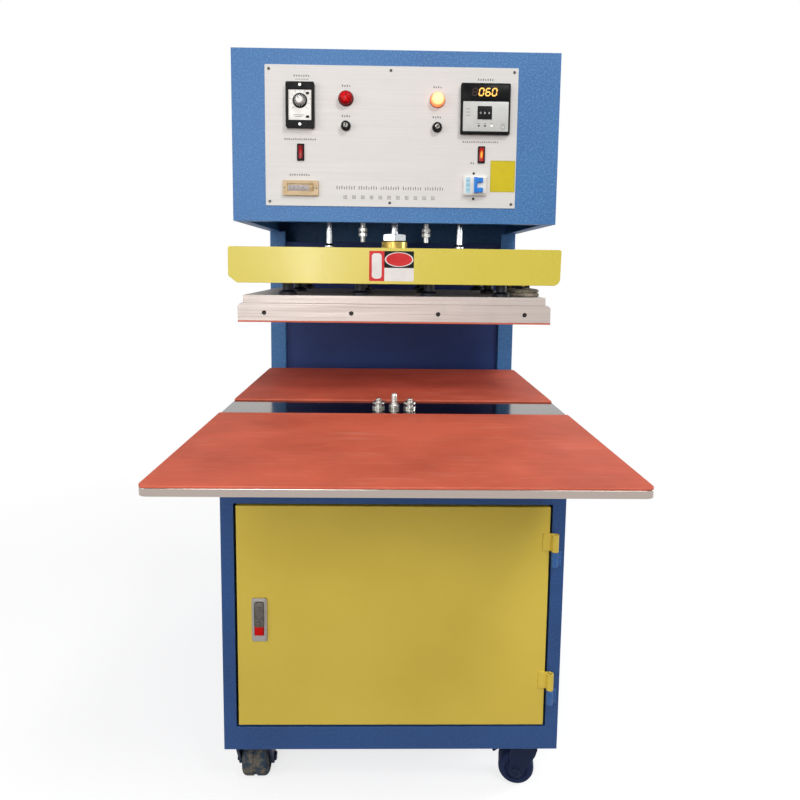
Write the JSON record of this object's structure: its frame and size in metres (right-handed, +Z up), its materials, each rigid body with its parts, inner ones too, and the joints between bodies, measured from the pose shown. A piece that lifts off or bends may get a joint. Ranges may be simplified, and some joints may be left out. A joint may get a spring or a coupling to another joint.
{
  "type": "blister packing machine",
  "caption": "Rotary blister packing machine with a turntable of red boards, a guided heat press under a control head, and a casters-mounted cabinet with a door.",
  "frame": {"origin": "on the floor under the middle of the bounding box", "axes": "+Z up, -Y towards the user's working side, +X to the user's right"},
  "size_m": [0.64, 1.23, 1.34],
  "materials": {
    "blue_paint": "light-textured powder coat",
    "cabinet_blue": "light-textured powder coat",
    "navy_paint": "satin paint",
    "door_yellow": "gloss enamel, lightly worn",
    "guard_yellow": "gloss enamel",
    "control_plate": "brushed and clear anodised",
    "plate_aluminium": "milled",
    "polished_plate": "polished",
    "machine_steel": "ground",
    "zinc_steel": "zinc plated",
    "bright_steel": "hard chromed",
    "yellow_zinc": "yellow passivated zinc",
    "red_silicone": "smooth silicone sheet",
    "black_plastic": "moulded",
    "white_plastic": "moulded",
    "grey_plastic": "moulded",
    "beige_plastic": "moulded",
    "red_plastic": "moulded",
    "amber_plastic": "moulded lens",
    "black_steel": "black enamel",
    "glass_sleeve": "braided glass fibre",
    "wheel_rubber": "hard rubber"
  },
  "bodies": {
    "frame": {"base_plate": "cabinet_blue", "cabinet_left_wall": "cabinet_blue", "cabinet_right_wall": "cabinet_blue", "cabinet_back_wall": "cabinet_blue", "cabinet_deck": "cabinet_blue", "cabinet_front_frame": "cabinet_blue", "hinge_pins": "cabinet_blue", "left_side_panel": "blue_paint", "right_side_panel": "blue_paint", "column_front_panel": "navy_paint", "back_panel": "blue_paint", "head_front_panel": "blue_paint", "head_top_panel": "blue_paint", "head_bottom_panel": "navy_paint", "control_panel": "control_plate", "timer_frame": "black_plastic", "timer_dial": "white_plastic", "temperature_controller": "grey_plastic", "counter": "beige_plastic", "red_lamp": "red_plastic", "amber_lamp": "amber_plastic", "fuse_caps": "black_plastic", "rocker_switches": "red_plastic", "breaker": "white_plastic", "stop_bolts": "zinc_steel", "pivot_post": "machine_steel", "press_anvil": "machine_steel", "caster_plates": "zinc_steel"},
    "door": {"door": "door_yellow", "door_latch": "bright_steel", "latch_button": "red_plastic"},
    "turntable": {"table_plate": "polished_plate", "front_pad": "red_silicone", "rear_pad": "red_silicone", "hub_studs": "zinc_steel"},
    "press": {"crosshead": "machine_steel", "guide_rods": "bright_steel", "piston_rod": "bright_steel", "rod_flange": "yellow_zinc", "guard": "guard_yellow", "spacer_posts": "black_plastic", "cover_plate": "plate_aluminium", "heater_plate": "plate_aluminium", "press_pad": "red_silicone", "heater_leads": "glass_sleeve", "lead_terminals": "black_plastic"},
    "swivel_fl": {"caster_fork_fl": "black_steel"},
    "wheel_fl": {"caster_wheel_fl": "wheel_rubber"},
    "swivel_fr": {"caster_fork_fr": "black_steel"},
    "wheel_fr": {"caster_wheel_fr": "wheel_rubber"},
    "swivel_rl": {"caster_fork_rl": "black_steel"},
    "wheel_rl": {"caster_wheel_rl": "wheel_rubber"},
    "swivel_rr": {"caster_fork_rr": "black_steel"},
    "wheel_rr": {"caster_wheel_rr": "wheel_rubber"}
  },
  "joints": [
    {"name": "door_swing", "type": "hinge", "parent": "frame", "child": "door", "pos_m": [0.272, -0.2715, 0.33], "axis": [0, 0, 1], "range_deg": [0, 170]},
    {"name": "table_turn", "type": "hinge", "parent": "frame", "child": "turntable", "pos_m": [0, -0.155, 0.66], "axis": [0, 0, 1], "continuous": true},
    {"name": "press_slide", "type": "slide", "parent": "frame", "child": "press", "axis": [0, 0, -1], "range_m": [0, 0.14]},
    {"name": "caster_swivel_fl", "type": "hinge", "parent": "frame", "child": "swivel_fl", "pos_m": [-0.244, -0.221, 0.08], "axis": [0, 0, 1], "continuous": true},
    {"name": "caster_roll_fl", "type": "hinge", "parent": "swivel_fl", "child": "wheel_fl", "pos_m": [-0.244, -0.205, 0.0315], "axis": [1, 0, 0], "continuous": true},
    {"name": "caster_swivel_fr", "type": "hinge", "parent": "frame", "child": "swivel_fr", "pos_m": [0.244, -0.221, 0.08], "axis": [0, 0, 1], "continuous": true},
    {"name": "caster_roll_fr", "type": "hinge", "parent": "swivel_fr", "child": "wheel_fr", "pos_m": [0.22824, -0.21822, 0.0315], "axis": [0.1736, 0.9848, 0], "continuous": true},
    {"name": "caster_swivel_rl", "type": "hinge", "parent": "frame", "child": "swivel_rl", "pos_m": [-0.244, 0.553, 0.08], "axis": [0, 0, 1], "continuous": true},
    {"name": "caster_roll_rl", "type": "hinge", "parent": "swivel_rl", "child": "wheel_rl", "pos_m": [-0.24678, 0.56876, 0.0315], "axis": [0.9848, 0.1736, 0], "continuous": true},
    {"name": "caster_swivel_rr", "type": "hinge", "parent": "frame", "child": "swivel_rr", "pos_m": [0.244, 0.553, 0.08], "axis": [0, 0, 1], "continuous": true},
    {"name": "caster_roll_rr", "type": "hinge", "parent": "swivel_rr", "child": "wheel_rr", "pos_m": [0.24122, 0.56876, 0.0315], "axis": [0.9848, 0.1736, 0], "continuous": true}
  ]
}
